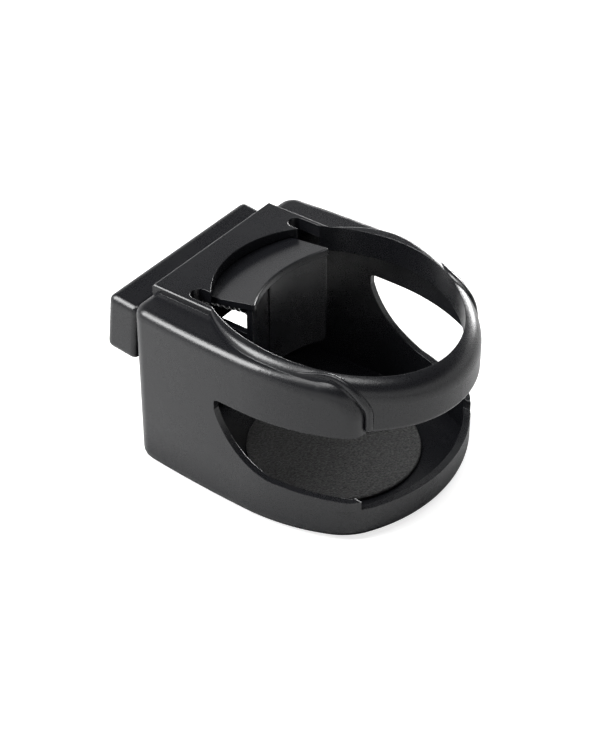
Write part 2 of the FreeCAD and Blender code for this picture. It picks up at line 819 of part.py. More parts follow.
def make_pusher():
    """Spring-loaded slider: sloping plate, curved wall, two cheeks with guide tongues, spring seats."""
    plate = prism("plate_block", plate_outline(), Z_AXIS, ("-1 * plate_thick", 0), SLIDE)
    top = dim("plate_top")
    plate = rounded("plate", plate, [
        (lambda mid, ends: mid.z > top - 1 and mid.y < dim("plate_front") + 0.5, dim("plate_round")),
    ])
    wall = prism("face_block", face_outline(), Z_AXIS, ("face_low", "face_top"))
    wall = rounded("face", wall, [
        (lambda mid, ends: mid.z < dim("face_low") + 0.1 and abs(mid.x) > dim("plate_half") - 0.1,
         dim("face_corner")),
    ])
    parts = [plate, wall]
    parts.append(box("witness_rib", ("-1 * witness_x - witness_half", "-1 * witness_x + witness_half"),
                     ("plate_front + 0.3", "plate_front + 1.4"), ("face_low + 0.5", "face_top - 1.5")))
    for s in (1, -1):
        tag = "right" if s > 0 else "left"
        parts.append(box("cheek_" + tag, side(s, "cheek_in", "plate_half"), ("cheek_front", "cheek_tail"),
                         ("cheek_low", "cheek_top")))
        parts.append(box("tongue_" + tag, side(s, "plate_half - 1", "tongue_out"),
                         ("tongue_y", "tongue_y + tongue_len"), ("tongue_z", "tongue_z + tongue_height"),
                         SLIDE))
        parts.append(cylinder("face_seat_" + tag, "seat_rad", "seat_len",
                              spring_line(s, "spring_front - seat_len"), Y_AXIS, SLIDE))
        parts.append(cylinder("face_post_" + tag, "post_rad", "post_len + 1",
                              spring_line(s, "spring_front - 1"), Y_AXIS, SLIDE))
    node(fuse("pusher_solid", parts), "pusher")


def make_springs():
    """Two compression springs along the slide, drawn at their rest length."""
    springs = []
    for s in (1, -1):
        tag = "right" if s > 0 else "left"
        helix = doc.addObject("Part::Helix", "coil_line_" + tag)
        bind(helix, "Radius", "spring_rad")
        bind(helix, "Height", "spring_back - spring_front - 2 * spring_wire")
        bind(helix, "Pitch", "(spring_back - spring_front - 2 * spring_wire) / spring_turns")
        start = "spring_front + spring_wire"
        along = FreeCAD.Rotation(Z_AXIS, Y_AXIS)
        place(helix, spring_line(s, start), SLIDE, along)
        wire = doc.addObject("Part::Circle", "coil_wire_" + tag)
        bind(wire, "Radius", "spring_wire")
        place(wire, ("%d * spring_x + spring_rad" % s, start, "spring_z"), SLIDE,
              along * FreeCAD.Rotation(X_AXIS, -90))
        coil = doc.addObject("Part::Sweep", "coil_" + tag)
        coil.Sections = [wire]
        coil.Spine = (helix, [])
        coil.Solid = True
        coil.Frenet = True
        springs.append(coil)
    node(group("springs", springs), "pusher_springs")


# ---------------------------------------------------------------- tilting clamp block
def make_block_shell():
    """Hollow block with a solid core for nut and rods, ribs for the pins and the upper jaw ledge."""
    depth = ("block_front", "block_rear")
    outer = rounded("block_outer", box("block_box", both("block_half"), depth, both("block_rise"), BLOCK),
                    [(lambda mid, ends: True, dim("block_round"))])
    cavity = box("block_cavity", both("block_half - block_wall"),
                 ("block_front + block_wall", "block_rear + 1"), both("block_rise - block_wall"), BLOCK)
    inner_y = "block_front + 1"
    inside = both("block_rise - 1")
    ledge = rounded("ledge", box(
        "ledge_box", both("jaw_half"), ("block_rear - 2", "jaw_rear"),
        (minus("block_rise"), "ledge_thick - block_rise"), BLOCK,
    ), [(lambda mid, ends: mid.y > dim("tilt_y") + dim("jaw_rear") - 1, 0.8)])
    ledge_space = box("ledge_space", both("jaw_half + 1"), ("cover_front", "block_rear"),
                      (minus("block_rise - block_wall"), 0), BLOCK)
    solids = [
        cut("block_open", outer, [cavity]),
        cut("ledge_cut", ledge, [ledge_space]),
        box("core", both("core_half"), (inner_y, "core_rear"), inside, BLOCK),
    ]
    tools = []
    for s in (1, -1):
        tag = "right" if s > 0 else "left"
        solids.append(box("pin_rib_" + tag, side(s, "rib_in", "rib_out"), (inner_y, "core_rear"),
                          inside, BLOCK))
        solids.append(cylinder("cover_boss_" + tag, "cover_boss", "cover_front - block_front - 1",
                               ("%d * cover_screw_x" % s, inner_y, 0), Y_AXIS, BLOCK))
        tools.append(box("lug_slot_" + tag, side(s, "core_half", "rib_in"),
                         ("block_front - 1", "block_front + block_wall + 0.5"),
                         ("slot_low", "slot_top"), BLOCK))
        pin_low = side(s, "pin_in", "rib_out + 1")[0]
        tools.append(cylinder("pin_bore_" + tag, "pin_rad + fit_gap", "rib_out + 1 - pin_in",
                              (pin_low, 0, 0), X_AXIS, BLOCK))
        tools.append(cylinder("cover_pilot_" + tag, "screw_rad", "screw_len + 1",
                              ("%d * cover_screw_x" % s, "cover_front - screw_len", 0), Y_AXIS, BLOCK))
        rod_at = ("%d * rod_x" % s, "stem_y", "-1 * block_rise - 1")
        tools.append(cylinder("rod_bore_" + tag, "rod_rad + 0.3", "block_rise + 1 + rod_bore_top",
                              rod_at, Z_AXIS, BLOCK))
        tools.append(cylinder("bush_bore_" + tag, "bush_rad", "bush_len + 1", rod_at, Z_AXIS, BLOCK))
    tools.append(cylinder("stem_bore", "stem_rad + 0.3", "block_rise + 1 + rod_bore_top",
                          (0, "stem_y", "-1 * block_rise - 1"), Z_AXIS, BLOCK))
    tools.append(box("nut_pocket", both("nut_half"), ("stem_y - nut_half", "core_rear + 1"),
                     ("nut_low", "nut_low + nut_thick"), BLOCK))
    node(cut("block", fuse("block_solid", solids), tools), "block_shell")


def make_block_cover():
    """Rear plate of the block with its two screws."""
    plate = rounded("cover_plate", box(
        "cover_box", both("block_half - block_wall - cover_gap"), ("cover_front", "cover_back"),
        both("block_rise - block_wall - cover_gap"), BLOCK,
    ), [(lambda mid, ends: ends[0].y > dim("tilt_y") + 5 and abs(ends[0].x - ends[1].x) > 1, 0.5)])
    tools = []
    screws = []
    for s in (1, -1):
        tag = "right" if s > 0 else "left"
        x = "%d * cover_screw_x" % s
        tools.append(cylinder("cover_hole_" + tag, "screw_rad", 4, (x, "cover_front - 1", 0),
                              Y_AXIS, BLOCK))
        tools.append(cylinder("cover_sink_" + tag, "screw_head_rad + 0.2", 4, (x, "cover_back - 1", 0),
                              Y_AXIS, BLOCK))
        screws.append(make_screw("cover_screw_" + tag, (x, "cover_back - 1", 0),
                                 "cover_back - 1 - cover_front + screw_len", BLOCK))
    node(cut("cover", plate, tools), "block_cover")
    node(group("cover_screws", screws), "block_screws")


def make_friction_washers():
    """Two washers beside each hinge lug."""
    washers = []
    spans = (("lug_in - washer_gap - washer_thick", "inner"), ("lug_out + washer_gap", "outer"))
    for s in (1, -1):
        for low, tag in spans:
            name = "washer_%s_%s" % (tag, "right" if s > 0 else "left")
            x_low = side(s, low, low + " + washer_thick")[0]
            disc = cylinder(name + "_disc", "washer_rad", "washer_thick", (x_low, 0, 0), X_AXIS, BLOCK)
            hole = cylinder(name + "_hole", "pin_rad + 0.1", "washer_thick + 2", (x_low + " - 1", 0, 0),
                            X_AXIS, BLOCK)
            washers.append(cut(name, disc, [hole]))
    node(group("washers", washers), "friction_washers")


def make_nut_and_bushes():
    low = "nut_low"
    block = box("nut_box", both("nut_half"), ("stem_y - nut_half", "stem_y + nut_half"),
                (low, low + " + nut_thick"), BLOCK)
    bore = cylinder("nut_bore", "stem_rad + fit_gap", "nut_thick + 2", (0, "stem_y", low + " - 1"),
                    Z_AXIS, BLOCK)
    node(cut("nut", block, [bore]), "clamp_nut")
    bushes = []
    for s in (1, -1):
        name = "bush_right" if s > 0 else "bush_left"
        x = "%d * rod_x" % s
        body = cylinder(name + "_body", "bush_rad", "bush_len", (x, "stem_y", "-1 * block_rise"),
                        Z_AXIS, BLOCK)
        hole = cylinder(name + "_hole", "rod_rad + fit_gap", "bush_len + 2",
                        (x, "stem_y", "-1 * block_rise - 1"), Z_AXIS, BLOCK)
        bushes.append(cut(name, body, [hole]))
    node(group("bushes", bushes), "rod_bushes")


def make_rubber(name, low, label):
    pad = box(name + "_box", both("rubber_half"), ("rubber_front", "rubber_rear"),
              (low, low + " + rubber_thick"), BLOCK)
    node(rounded(name, pad, [(lambda mid, ends: abs(ends[0].x - ends[1].x) < 0.1
                              and abs(ends[0].z - ends[1].z) > 0.5
                              and abs(ends[0].y - ends[1].y) < 0.5, 0.6)]), label)


# ---------------------------------------------------------------- jaw, rods and clamp screw
JAW_TOP = "-1 * (block_rise + 2 * rubber_thick + jaw_gap)"
JAW_LOW = JAW_TOP + " - jaw_thick"


def make_lower_jaw():
    """Lower jaw plate, carried by two rods that are held from below by screws."""
    plate = rounded("jaw_plate", box("jaw_box", both("jaw_half"), ("jaw_front", "jaw_rear"),
                                     (JAW_LOW, JAW_TOP), BLOCK),
                    [(lambda mid, ends: True, dim("jaw_round"))])
    tools = [cylinder("jaw_stem_bore", "stem_rad + fit_gap", "jaw_thick + 2",
                      (0, "stem_y", JAW_LOW + " - 1"), Z_AXIS, BLOCK)]
    rods = []
    screws = []
    for s in (1, -1):
        tag = "right" if s > 0 else "left"
        x = "%d * rod_x" % s
        rod_low = JAW_TOP + " - rod_sink"
        screw_low = JAW_LOW + " + 0.1"
        screw_seat = JAW_LOW + " + rod_screw_sink"
        tools.append(cylinder("jaw_rod_bore_" + tag, "rod_rad", "rod_sink + 1",
                              (x, "stem_y", rod_low), Z_AXIS, BLOCK))
        tools.append(cylinder("jaw_screw_sink_" + tag, "rod_screw_head + 0.15", "rod_screw_sink + 1",
                              (x, "stem_y", JAW_LOW + " - 1"), Z_AXIS, BLOCK))
        tools.append(cylinder("jaw_screw_hole_" + tag, "rod_screw_rad", "jaw_thick",
                              (x, "stem_y", JAW_LOW), Z_AXIS, BLOCK))
        rod = cylinder("rod_body_" + tag, "rod_rad", "rod_top - (%s)" % rod_low,
                       (x, "stem_y", rod_low), Z_AXIS, BLOCK)
        rod_hole = cylinder("rod_hole_" + tag, "rod_screw_rad", "rod_screw_end - (%s) + 1" % rod_low,
                            (x, "stem_y", rod_low + " - 1"), Z_AXIS, BLOCK)
        rods.append(cut("rod_" + tag, rod, [rod_hole]))
        head = cylinder("rod_screw_head_" + tag, "rod_screw_head", "rod_screw_sink - 0.1",
                        (x, "stem_y", screw_low), Z_AXIS, BLOCK)
        shank = cylinder("rod_screw_shank_" + tag, "rod_screw_rad", "rod_screw_end - (%s)" % screw_seat,
                         (x, "stem_y", screw_seat), Z_AXIS, BLOCK)
        screws.append(fuse("rod_screw_" + tag, [head, shank]))
    node(cut("jaw", plate, tools), "lower_jaw")
    node(group("rods", rods), "jaw_rods")
    node(group("rod_screw_pair", screws), "rod_screws")


def make_clamp_screw():
    """Threaded stem, its clip above the jaw, thrust washer and fluted knob below the jaw."""
    knob_top = JAW_LOW + " - thrust_thick"
    stem_low = knob_top + " - knob_height + 1.5"
    axis = (0, "stem_y")
    stem = cylinder("stem", "stem_rad", "stem_top - (%s)" % stem_low, axis + (stem_low,), Z_AXIS, BLOCK)
    node(stem, "clamp_screw")

    clip = cut("clip", cylinder("clip_disc", "clip_rad", "clip_thick", axis + (JAW_TOP + " + fit_gap",),
                                Z_AXIS, BLOCK),
               [cylinder("clip_hole", "stem_rad", "clip_thick + 2", axis + (JAW_TOP + " - 1",),
                         Z_AXIS, BLOCK)])
    node(clip, "screw_clip")

    washer = cut("thrust", cylinder("thrust_disc", "thrust_rad", "thrust_thick - fit_gap",
                                    axis + (knob_top,), Z_AXIS, BLOCK),
                 [cylinder("thrust_hole", "stem_rad + fit_gap", "thrust_thick + 2",
                           axis + (knob_top + " - 1",), Z_AXIS, BLOCK)])
    node(washer, "thrust_washer")

    low = knob_top + " - knob_height"
    disc = rounded("knob_disc", cylinder("knob_blank", "knob_rad", "knob_height", axis + (low,),
                                         Z_AXIS, BLOCK),
                   [(lambda mid, ends: (ends[0] - ends[1]).Length < 0.1, dim("knob_round"))])
    tools = [cylinder("knob_bore", "stem_rad", "knob_height", axis + (stem_low,), Z_AXIS, BLOCK)]
    for index in range(int(dim("knob_flutes"))):
        angle = "(%d * 360 deg / knob_flutes)" % index
        tools.append(cylinder("flute_%d" % index, "flute_rad", "knob_height + 2", (
            "flute_at * cos%s" % angle, "stem_y + flute_at * sin%s" % angle, low + " - 1",
        ), Z_AXIS, BLOCK))
    node(cut("knob", disc, tools), "clamp_knob")


# ---------------------------------------------------------------- all sub-parts
make_holder_body()
make_foam()
make_rear_frame()
make_frame_screws()
make_tilt_pins()
make_pusher()
make_springs()
make_block_shell()
make_block_cover()
make_friction_washers()
make_nut_and_bushes()
make_rubber("upper_rubber", "-1 * (block_rise + rubber_thick)", "upper_jaw_pad")
make_lower_jaw()
make_rubber("lower_rubber", JAW_TOP, "lower_jaw_pad")
make_clamp_screw()
doc.recompute()

for obj in doc.Objects:
    if "Invalid" in obj.State or "Error" in obj.State:
        raise RuntimeError("%s did not compute: %s" % (obj.Name, obj.State))

os.makedirs("parts", exist_ok=True)
for obj in nodes:
    if obj.Shape.isNull() or not obj.Shape.isValid() or not obj.Shape.Solids:
        raise RuntimeError("%s has no valid shape" % obj.Label)
    obj.Shape.exportStep("parts/%s.step" % obj.Label)
    print("%-18s %2d solid(s) %10.1f mm3" % (obj.Label, len(obj.Shape.Solids), obj.Shape.Volume))
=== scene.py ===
import json
import math

import bpy
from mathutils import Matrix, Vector, noise


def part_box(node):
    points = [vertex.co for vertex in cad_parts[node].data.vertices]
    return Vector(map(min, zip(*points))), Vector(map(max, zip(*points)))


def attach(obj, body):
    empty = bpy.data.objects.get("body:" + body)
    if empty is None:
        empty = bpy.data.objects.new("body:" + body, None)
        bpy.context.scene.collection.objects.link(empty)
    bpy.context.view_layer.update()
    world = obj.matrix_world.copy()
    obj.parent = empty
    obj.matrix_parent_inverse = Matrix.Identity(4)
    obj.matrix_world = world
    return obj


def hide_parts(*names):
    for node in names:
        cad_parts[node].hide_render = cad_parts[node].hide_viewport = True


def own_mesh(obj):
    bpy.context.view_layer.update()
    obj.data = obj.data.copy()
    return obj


# Clamp-on cup holder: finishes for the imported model, and finer meshes for its foam pad, springs, screws,
# clamp screw and leaf beads.
# Metres, in the model's own frame: +Z up, origin on the ring's axis at the underside of the base.

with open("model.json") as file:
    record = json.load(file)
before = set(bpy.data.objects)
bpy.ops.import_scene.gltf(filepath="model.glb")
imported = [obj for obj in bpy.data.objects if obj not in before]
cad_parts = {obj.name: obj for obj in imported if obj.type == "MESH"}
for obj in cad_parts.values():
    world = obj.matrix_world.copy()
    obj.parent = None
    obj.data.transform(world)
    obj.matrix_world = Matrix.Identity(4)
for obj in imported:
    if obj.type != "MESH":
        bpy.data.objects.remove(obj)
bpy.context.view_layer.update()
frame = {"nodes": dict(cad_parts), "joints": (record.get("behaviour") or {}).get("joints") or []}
NODES = frame["nodes"]
JOINTS = {joint["name"]: joint for joint in frame["joints"]}
MM = 0.001
WHITE = (1, 1, 1, 1)


# ---------------------------------------------------------------- material helpers
class Shader:
    """A node material with short calls for the nodes that every finish here uses."""

    def __init__(self, name):
        self.material = bpy.data.materials.new(name)
        self.material.use_nodes = True
        self.tree = self.material.node_tree
        self.surface = self.tree.nodes["Principled BSDF"]
        self.coords = self.add("ShaderNodeTexCoord").outputs["Object"]

    def add(self, kind, **values):
        """New node of a kind, with its properties set."""
        node = self.tree.nodes.new(kind)
        for key, value in values.items():
            setattr(node, key, value)
        return node

    def link(self, source, target):
        """Connect an output socket to an input socket."""
        self.tree.links.new(source, target)

    def noise(self, size, detail=3.0, roughness=0.55, coords=None):
        """Noise whose features are about 'size' metres across; the value is centred on 0.5."""
        node = self.add("ShaderNodeTexNoise")
        node.inputs["Scale"].default_value = 1 / size
        node.inputs["Detail"].default_value = detail
        node.inputs["Roughness"].default_value = roughness
        self.link(coords or self.coords, node.inputs["Vector"])
        return node.outputs["Fac"]

    def cells(self, size):
        """Distance from the centres of cells that are about 'size' metres apart."""
        node = self.add("ShaderNodeTexVoronoi")
        node.inputs["Scale"].default_value = 1 / size
        self.link(self.coords, node.inputs["Vector"])
        return node.outputs["Distance"]

    def stretched(self, scale):
        """Coordinates scaled along each axis, for brushed or drawn surfaces."""
        node = self.add("ShaderNodeMapping")
        node.inputs["Scale"].default_value = scale
        self.link(self.coords, node.inputs["Vector"])
        return node.outputs["Vector"]

    def remap(self, value, low, high, from_low=0.0, from_high=1.0):
        """Linear map of (from_low, from_high) to (low, high), held at both ends."""
        node = self.add("ShaderNodeMapRange")
        node.inputs["From Min"].default_value = from_low
        node.inputs["From Max"].default_value = from_high
        node.inputs["To Min"].default_value = low
        node.inputs["To Max"].default_value = high
        self.link(value, node.inputs["Value"])
        return node.outputs["Result"]

    def maths(self, operation, first, second):
        """One arithmetic step between numbers or sockets."""
        node = self.add("ShaderNodeMath", operation=operation)
        for socket, value in zip(node.inputs, (first, second)):
            if isinstance(value, (int, float)):
                socket.default_value = value
            else:
                self.link(value, socket)
        return node.outputs["Value"]

    def blend(self, factor, first, second):
        """Mix of two colours, given as (r, g, b)."""
        node = self.add("ShaderNodeMix", data_type="RGBA")
        self.link(factor, node.inputs["Factor"])
        node.inputs[6].default_value = (*first, 1)
        node.inputs[7].default_value = (*second, 1)
        return node.outputs[2]

    def rounded_normal(self, radius):
        """Shading normal that is rounded over sharp edges."""
        node = self.add("ShaderNodeBevel", samples=6)
        node.inputs["Radius"].default_value = radius
        return node.outputs["Normal"]

    def edges(self, rounded):
        """1 where the rounded normal turns away from the surface's own normal, 0 elsewhere."""
        flat = self.add("ShaderNodeNewGeometry")
        dot = self.add("ShaderNodeVectorMath", operation="DOT_PRODUCT")
        self.link(rounded, dot.inputs[0])
        self.link(flat.outputs["Normal"], dot.inputs[1])
        return self.remap(dot.outputs["Value"], 1.0, 0.0, 0.80, 0.995)

    def painted_shade_occlusion(self, reach):
        """Ambient occlusion, used to paint shade: 1 on open surfaces, towards 0 in hollows of about the
        given size.
        """
        node = self.add("ShaderNodeAmbientOcclusion", samples=4)
        node.inputs["Distance"].default_value = reach
        return node.outputs["AO"]

    def bump(self, height, strength, distance, normal=None):
        """Normal of a relief 'distance' metres high, on top of another normal if one is given."""
        node = self.add("ShaderNodeBump")
        node.inputs["Strength"].default_value = strength
        node.inputs["Distance"].default_value = distance
        self.link(height, node.inputs["Height"])
        if normal is not None:
            self.link(normal, node.inputs["Normal"])
        return node.outputs["Normal"]

    def set(self, **values):
        """Set or link inputs of the surface; an underscore stands for a space in an input's name."""
        for key, value in values.items():
            socket = self.surface.inputs[key.replace("_", " ")]
            if hasattr(value, "node"):
                self.link(value, socket)
            else:
                socket.default_value = value


def moulded_plastic(name, colour, roughness, grain, grain_size, edge_radius=0.35 * MM):
    """Black moulded plastic: spark-eroded grain, uneven gloss, edges rubbed a little brighter, and painted
    shade that dims its reflections in hollows and near the floor.
    """
    s = Shader(name)
    normal = s.rounded_normal(edge_radius)
    edge = s.edges(normal)
    fine = s.noise(grain_size, detail=2.0, roughness=0.7)
    pits = s.cells(grain_size * 1.7)
    flow = s.noise(14 * MM, detail=4.0)
    height = s.maths("ADD", fine, s.maths("MULTIPLY", pits, 0.6))
    gloss = s.maths("ADD", s.remap(flow, roughness - 0.05, roughness + 0.05),
                    s.remap(fine, -0.05, 0.05))
    gloss = s.maths("SUBTRACT", gloss, s.maths("MULTIPLY", edge, 0.06))
    bright = tuple(c * 1.5 + 0.003 for c in colour)
    # painted shade: ambient occlusion lowers the reflection level in hollows, so insides look darker than
    # the lighting makes them
    hollow_shade_ao = s.painted_shade_occlusion(40 * MM)
    tone = s.maths("ADD", s.maths("MULTIPLY", edge, 0.6), s.remap(fine, 0.0, 0.25, 0.35, 0.75))
    s.set(Base_Color=s.blend(tone, colour, bright), Roughness=gloss,
          Normal=s.bump(height, grain, grain_size * 0.35, normal), IOR=1.5,
          Specular_IOR_Level=s.remap(hollow_shade_ao, -0.12, 0.42, 0.25, 0.65))
    return s.material


def steel(name, colour, roughness, scale=(1, 1, 1), edge_radius=0.15 * MM):
    """Drawn or turned metal; a scale above 1 along an axis makes fine streaks that run across it."""
    s = Shader(name)
    normal = s.rounded_normal(edge_radius)
    edge = s.edges(normal)
    streaks = s.noise(0.12 * MM, detail=2.0, coords=s.stretched(scale))
    cloud = s.noise(3 * MM, detail=4.0)
    tone = s.maths("ADD", s.remap(cloud, 0.0, 0.7), s.maths("MULTIPLY", edge, 0.4))
    dark = tuple(c * 0.72 for c in colour)
    s.set(Base_Color=s.blend(tone, dark, colour), Metallic=1.0,
          Roughness=s.maths("ADD", s.remap(streaks, roughness - 0.08, roughness + 0.1),
                            s.remap(cloud, -0.04, 0.04)),
          Normal=s.bump(streaks, 0.15, 0.02 * MM, normal))
    return s.material


def rubber(name):
    """Matt black rubber with a little dust."""
    s = Shader(name)
    normal = s.rounded_normal(0.3 * MM)
    grain = s.noise(0.35 * MM, detail=3.0)
    dust = s.noise(5 * MM, detail=5.0)
    s.set(Base_Color=s.blend(dust, (0.012, 0.012, 0.012), (0.035, 0.034, 0.033)),
          Roughness=s.remap(grain, 0.72, 0.92),
          Normal=s.bump(grain, 0.5, 0.08 * MM, normal))
    return s.material


def nylon(name, colour):
    """Natural nylon, or dried adhesive: pale, cloudy and slightly translucent."""
    s = Shader(name)
    normal = s.rounded_normal(0.15 * MM)
    cloud = s.noise(2 * MM, detail=4.0)
    darker = tuple(c * 0.8 for c in colour)
    s.set(Base_Color=s.blend(cloud, darker, colour), Roughness=s.remap(cloud, 0.38, 0.5),
          Subsurface_Weight=0.1, Subsurface_Radius=(0.001, 0.001, 0.001),
          Normal=s.bump(cloud, 0.2, 0.05 * MM, normal))
    return s.material


def foam(name):
    """Closed-cell foam: open surface cells in mottled charcoal."""
    s = Shader(name)
    cells = s.cells(0.62 * MM)
    small = s.cells(0.30 * MM)
    mottle = s.noise(0.9 * MM, detail=5.0, roughness=0.75)
    cloud = s.noise(9 * MM, detail=3.0)
    tone = s.maths("ADD", s.remap(mottle, -0.35, 1.0, 0.36, 0.64),
                   s.remap(cells, 0.35, -0.1, 0.0, 0.8))
    tone = s.maths("ADD", tone, s.remap(cloud, -0.12, 0.12))
    height = s.maths("ADD", cells, s.maths("MULTIPLY", small, 0.5))
    s.set(Base_Color=s.blend(tone, (0.003, 0.003, 0.003), (0.040, 0.040, 0.040)),
          Roughness=s.remap(mottle, 0.8, 1.0), Sheen_Weight=0.08, Sheen_Roughness=0.6,
          Specular_IOR_Level=0.4, Normal=s.bump(height, 0.8, 0.30 * MM))
    return s.material


def pale_floor(name):
    """Plain matt floor, brighter to the camera than in the object's reflections."""
    s = Shader(name)
    speckle = s.noise(0.2, detail=2.0)
    seen = s.add("ShaderNodeLightPath").outputs["Is Camera Ray"]
    s.set(Base_Color=s.blend(speckle, (0.56, 0.56, 0.56), (0.60, 0.60, 0.60)), Roughness=0.9,
          Specular_IOR_Level=0.1, Emission_Color=WHITE, Emission_Strength=s.remap(seen, 0.02, 0.72))
    return s.material


BLACK = (0.0040, 0.0042, 0.0052)
MATERIALS = {
    "shell": moulded_plastic("shell_plastic", BLACK, 0.28, 0.20, 0.32 * MM),
    "smooth": moulded_plastic("satin_plastic", BLACK, 0.28, 0.10, 0.25 * MM),
    "inner": moulded_plastic("inner_plastic", BLACK, 0.34, 0.2, 0.4 * MM),
    "foam": foam("foam"),
    "glue": nylon("adhesive", (0.5, 0.48, 0.42)),
    "dark_steel": steel("blackened_steel", (0.12, 0.12, 0.125), 0.36),
    "ground_steel": steel("ground_steel", (0.62, 0.62, 0.61), 0.24, (1, 1, 12)),
    "spring_steel": steel("spring_steel", (0.55, 0.55, 0.54), 0.28),
    "brass": steel("brass", (0.72, 0.52, 0.22), 0.3),
    "bronze": steel("bronze", (0.52, 0.34, 0.16), 0.42),
    "nylon": nylon("natural_nylon", (0.72, 0.70, 0.62)),
    "rubber": rubber("jaw_rubber"),
    "floor": pale_floor("pale_floor"),
}
NODE_FINISH = {
    "holder_body": "shell", "pad_adhesive": "glue", "foam_pad": "foam", "rear_frame": "inner",
    "frame_screws": "dark_steel", "tilt_pins": "ground_steel", "pusher": "smooth",
    "pusher_springs": "spring_steel", "block_shell": "shell", "block_cover": "shell",
    "block_screws": "dark_steel", "upper_jaw_pad": "rubber", "clamp_nut": "brass",
    "rod_bushes": "bronze", "friction_washers": "nylon", "lower_jaw": "shell",
    "lower_jaw_pad": "rubber", "jaw_rods": "ground_steel", "rod_screws": "dark_steel",
    "clamp_screw": "ground_steel", "clamp_knob": "inner", "screw_clip": "spring_steel",
    "thrust_washer": "ground_steel",
}


def finish_of(piece, key):
    """Give a piece one of the materials, in place of any it has."""
    piece.data.materials.clear()
    piece.data.materials.append(MATERIALS[key])


for node_name, finish in NODE_FINISH.items():
    finish_of(NODES[node_name], finish)


# ---------------------------------------------------------------- mesh helpers
def mesh_object(name, vertices, faces, finish, smooth=True):
    """New object with one material."""
    mesh = bpy.data.meshes.new(name)
    mesh.from_pydata(vertices, [], faces)
    mesh.validate()
    mesh.update()
    if smooth:
        mesh.shade_smooth()
    obj = bpy.data.objects.new(name, mesh)
    bpy.context.scene.collection.objects.link(obj)
    finish_of(obj, finish)
    return obj


def stand_in(obj, node, body):
    """Put an object on a body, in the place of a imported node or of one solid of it."""
    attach(obj, body)
    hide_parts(node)


def tube_faces(rings, segments):
    """Faces of a closed tube: quads between consecutive rings and a polygon over each end."""
    faces = []
    for r in range(rings - 1):
        low, high = r * segments, (r + 1) * segments
        for i in range(segments):
            j = (i + 1) % segments
            faces.append((low + i, low + j, high + j, high + i))
    last = (rings - 1) * segments
    return faces + [tuple(reversed(range(segments))), tuple(range(last, last + segments))]


def lathe_rings(profile, segments, shape=None):
    """Rings of points around Z from (radius, height) pairs.

    shape(angle, radius, height) may return another radius and height for each point.
    """
    points = []
    for radius, height in profile:
        for i in range(segments):
            angle = 2 * math.pi * i / segments
            r, z = shape(angle, radius, height) if shape else (radius, height)
            points.append(Vector((r * math.cos(angle), r * math.sin(angle), z)))
    return points


def tube(name, path, sides, finish):
    """Closed tube along a path of (centre, outward direction, sideways direction, radius)."""
    points = []
    for centre, outward, sideways, radius in path:
        for k in range(sides):
            angle = 2 * math.pi * k / sides
            x, y = radius * math.cos(angle), radius * math.sin(angle)
            points.append(centre + outward * x + sideways * y)
    return mesh_object(name, points, tube_faces(len(path), sides), finish)


# ---------------------------------------------------------------- foam pad
FOAM_SEGMENTS, FOAM_RINGS = 240, 62
DENT_SPACING = 3.5 * MM
DENT_DEPTH, WAVE_DEPTH = 0.03 * MM, 0.06 * MM
FACE_SINK = 0.07 * MM     # lowers the face by about as much as the dents and waves can raise it


def make_foam_pad():
    """Die-cut disc of foam: pressed-in rim and slightly uneven face."""
    low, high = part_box("foam_pad")
    centre = (low + high) / 2
    radius = (high.x - low.x) / 2
    thick = high.z - low.z
    face_radius = radius - 0.6 * MM
    profile = [(radius * 0.02, 0.0), (radius * 0.5, 0.0), (radius - 0.3 * MM, 0.0),
               (radius, 0.25 * MM), (radius, thick * 0.45), (radius - 0.06 * MM, thick * 0.7),
               (radius - 0.25 * MM, thick * 0.9), (face_radius, thick)]
    for i in range(1, FOAM_RINGS + 1):
        profile.append((face_radius * (1 - i / (FOAM_RINGS + 1)), thick))

    def uneven(angle, r, z):
        """Dents and shallow waves, on the upper face only."""
        if z < thick * 0.95:
            return r, z
        place = Vector((r * math.cos(angle), r * math.sin(angle), 0.0)) / DENT_SPACING
        dents = noise.noise(place) * DENT_DEPTH
        waves = noise.noise(place / 4 + Vector((5, 3, 1))) * WAVE_DEPTH
        return r, z + dents + waves - FACE_SINK

    base = Vector((centre.x, centre.y, low.z))
    points = [point + base for point in lathe_rings(profile, FOAM_SEGMENTS, uneven)]
    pad = mesh_object("foam_disc", points, tube_faces(len(profile), FOAM_SEGMENTS), "foam")
    stand_in(pad, "foam_pad", "base")


# ---------------------------------------------------------------- springs
COIL_OUTSIDE = 4.1 * MM          # radius over the outside of the coil
WIRE = 0.5 * MM                  # radius of the wire
TURNS, CLOSED_TURNS = 8.0, 1.0   # in all, and closed at each end
CLOSED_PITCH = 2.1 * WIRE
STEPS_PER_TURN, WIRE_SIDES = 40, 12


def coil_height(turn, length):
    """Height along the spring after a number of turns, with closed turns at both ends."""
    if turn < CLOSED_TURNS:
        return turn * CLOSED_PITCH
    if turn > TURNS - CLOSED_TURNS:
        return length - (TURNS - turn) * CLOSED_PITCH
    open_part = (turn - CLOSED_TURNS) / (TURNS - 2 * CLOSED_TURNS)
    closed = CLOSED_PITCH * CLOSED_TURNS
    return closed + open_part * (length - 2 * closed)


